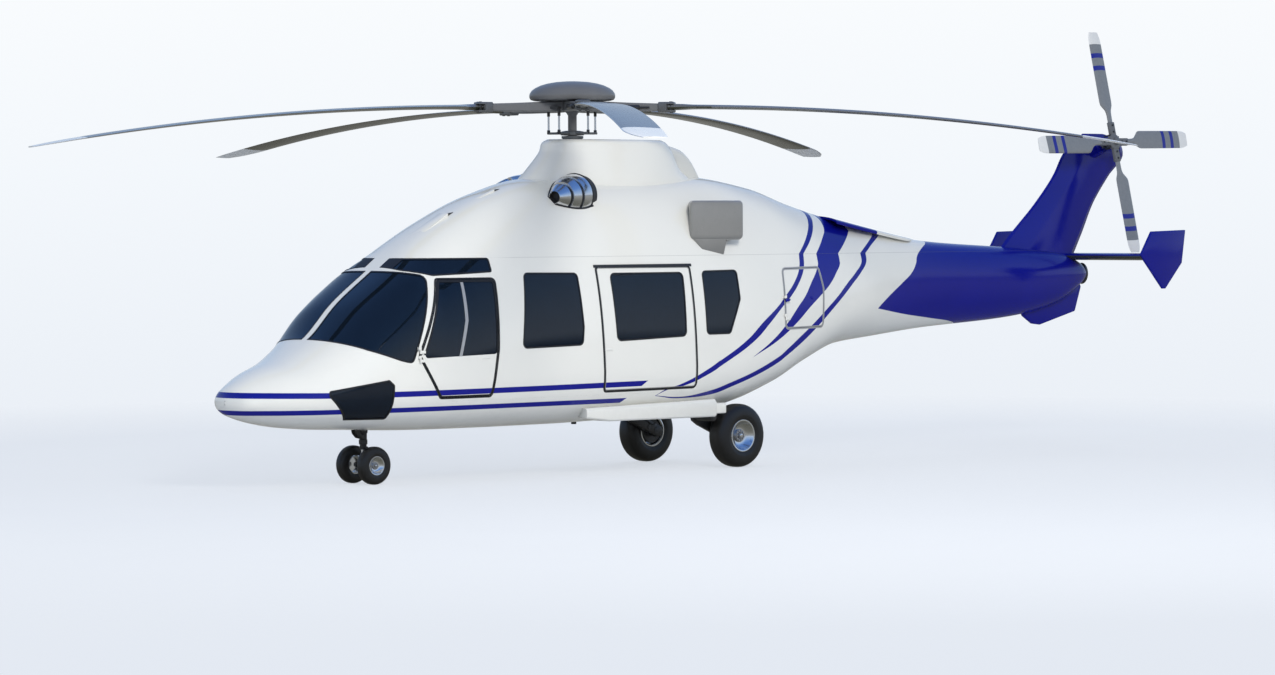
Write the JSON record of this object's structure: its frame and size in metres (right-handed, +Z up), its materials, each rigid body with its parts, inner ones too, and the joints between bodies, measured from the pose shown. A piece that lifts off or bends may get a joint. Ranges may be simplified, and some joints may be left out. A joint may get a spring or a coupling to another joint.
{
  "type": "medium twin-engine transport helicopter",
  "caption": "White and blue medium transport helicopter on retractable wheeled gear, with a main rotor, canted tail rotor, opening crew doors and baggage hatches.",
  "frame": {"origin": "middle of the flat cargo hook pad under the belly, on the main rotor's axis; the ground is 0.600 m below it", "axes": "+X towards the nose, +Y to port, +Z up along the main rotor's axis"},
  "size_m": [19.1698, 13.615, 6.095],
  "materials": {
    "paint": "gloss white paint over light alloy and composite skin",
    "blue_paint": "gloss royal blue paint over composite skin",
    "tinted_glass": "dark tinted glazing",
    "rotor_grey": "satin grey paint, white tips",
    "exhaust_grey": "satin grey heat shield",
    "chrome": "polished metal",
    "tyre": "black rubber on a bright rim",
    "black_metal": "black painted metal",
    "black_plastic": "matt black",
    "seat_cloth": "dark woven cloth",
    "engine_metal": "bare metal"
  },
  "bodies": {
    "airframe": {"nose_section": "paint", "belly_hull": "paint", "cockpit_frame": "paint", "cabin_side_left": "paint", "cabin_side_right": "paint", "cabin_roof": "paint", "cabin_door_left": "paint", "cabin_door_right": "paint", "rear_fuselage": "paint", "engine_cowling": "paint", "aft_cowling": "paint", "mast_fairing": "paint", "sponson_left": "paint", "sponson_right": "paint", "tail_boom": "blue_paint", "tail_fin": "blue_paint", "stabilizer": "blue_paint", "ventral_fin": "blue_paint", "windshield_left": "tinted_glass", "windshield_right": "tinted_glass", "roof_window_left": "tinted_glass", "roof_window_right": "tinted_glass", "chin_window_left": "tinted_glass", "chin_window_right": "tinted_glass", "cabin_window_front_left": "tinted_glass", "cabin_window_front_right": "tinted_glass", "cabin_window_rear_left": "tinted_glass", "cabin_window_rear_right": "tinted_glass", "cabin_door_glass_left": "tinted_glass", "cabin_door_glass_right": "tinted_glass", "exhaust_left": "exhaust_grey", "exhaust_right": "exhaust_grey", "intake_left": "chrome", "intake_right": "chrome", "main_leg_left": "black_metal", "main_leg_right": "black_metal", "nose_leg": "black_metal", "instrument_panel": "black_plastic", "crew_seats": "seat_cloth", "cabin_seats": "seat_cloth", "powerplant": "engine_metal"},
    "main_rotor": {"rotor_head": "rotor_grey", "main_blade_1": "rotor_grey", "main_blade_2": "rotor_grey", "main_blade_3": "rotor_grey", "main_blade_4": "rotor_grey", "main_blade_5": "rotor_grey"},
    "tail_rotor": {"tail_rotor": "rotor_grey"},
    "crew_door_left": {"crew_door_left": "paint", "crew_door_glass_left": "tinted_glass"},
    "crew_door_right": {"crew_door_right": "paint", "crew_door_glass_right": "tinted_glass"},
    "baggage_hatch_left": {"baggage_hatch_left": "paint"},
    "baggage_hatch_right": {"baggage_hatch_right": "paint"},
    "nose_steering": {"nose_steering_fork": "black_metal"},
    "nose_wheels": {"nose_wheels": "tyre"},
    "main_wheel_left": {"main_wheel_left": "tyre"},
    "main_wheel_right": {"main_wheel_right": "tyre"}
  },
  "joints": [
    {"name": "main_rotor_turn", "type": "hinge", "parent": "airframe", "child": "main_rotor", "pos_m": [0, 0, 4.253], "axis": [0, 0, 1], "continuous": true},
    {"name": "tail_rotor_turn", "type": "hinge", "parent": "airframe", "child": "tail_rotor", "pos_m": [-10.333, 0.45, 3.854], "axis": [0, 0.9763, 0.2164], "continuous": true},
    {"name": "crew_door_left_hinge", "type": "hinge", "parent": "airframe", "child": "crew_door_left", "pos_m": [3.515, 1.13, 1.02], "axis": [0, 0, -1], "range_deg": [0, 75]},
    {"name": "crew_door_right_hinge", "type": "hinge", "parent": "airframe", "child": "crew_door_right", "pos_m": [3.515, -1.13, 1.02], "axis": [0, 0, 1], "range_deg": [0, 75]},
    {"name": "baggage_hatch_left_hinge", "type": "hinge", "parent": "airframe", "child": "baggage_hatch_left", "pos_m": [-2.918, 1.045, 1.5], "axis": [0, 0, -1], "range_deg": [0, 120]},
    {"name": "baggage_hatch_right_hinge", "type": "hinge", "parent": "airframe", "child": "baggage_hatch_right", "pos_m": [-2.918, -1.045, 1.5], "axis": [0, 0, 1], "range_deg": [0, 120]},
    {"name": "nose_wheel_steering", "type": "hinge", "parent": "airframe", "child": "nose_steering", "pos_m": [3.542, 0, -0.2], "axis": [0, 0, 1], "range_deg": [-60, 60]},
    {"name": "nose_wheels_spin", "type": "hinge", "parent": "nose_steering", "child": "nose_wheels", "pos_m": [3.542, 0, -0.359], "axis": [0, 1, 0], "continuous": true},
    {"name": "main_wheel_left_spin", "type": "hinge", "parent": "airframe", "child": "main_wheel_left", "pos_m": [-2.118, 0.899, -0.174], "axis": [0, 1, 0], "continuous": true},
    {"name": "main_wheel_right_spin", "type": "hinge", "parent": "airframe", "child": "main_wheel_right", "pos_m": [-2.118, -0.899, -0.174], "axis": [0, 1, 0], "continuous": true}
  ]
}
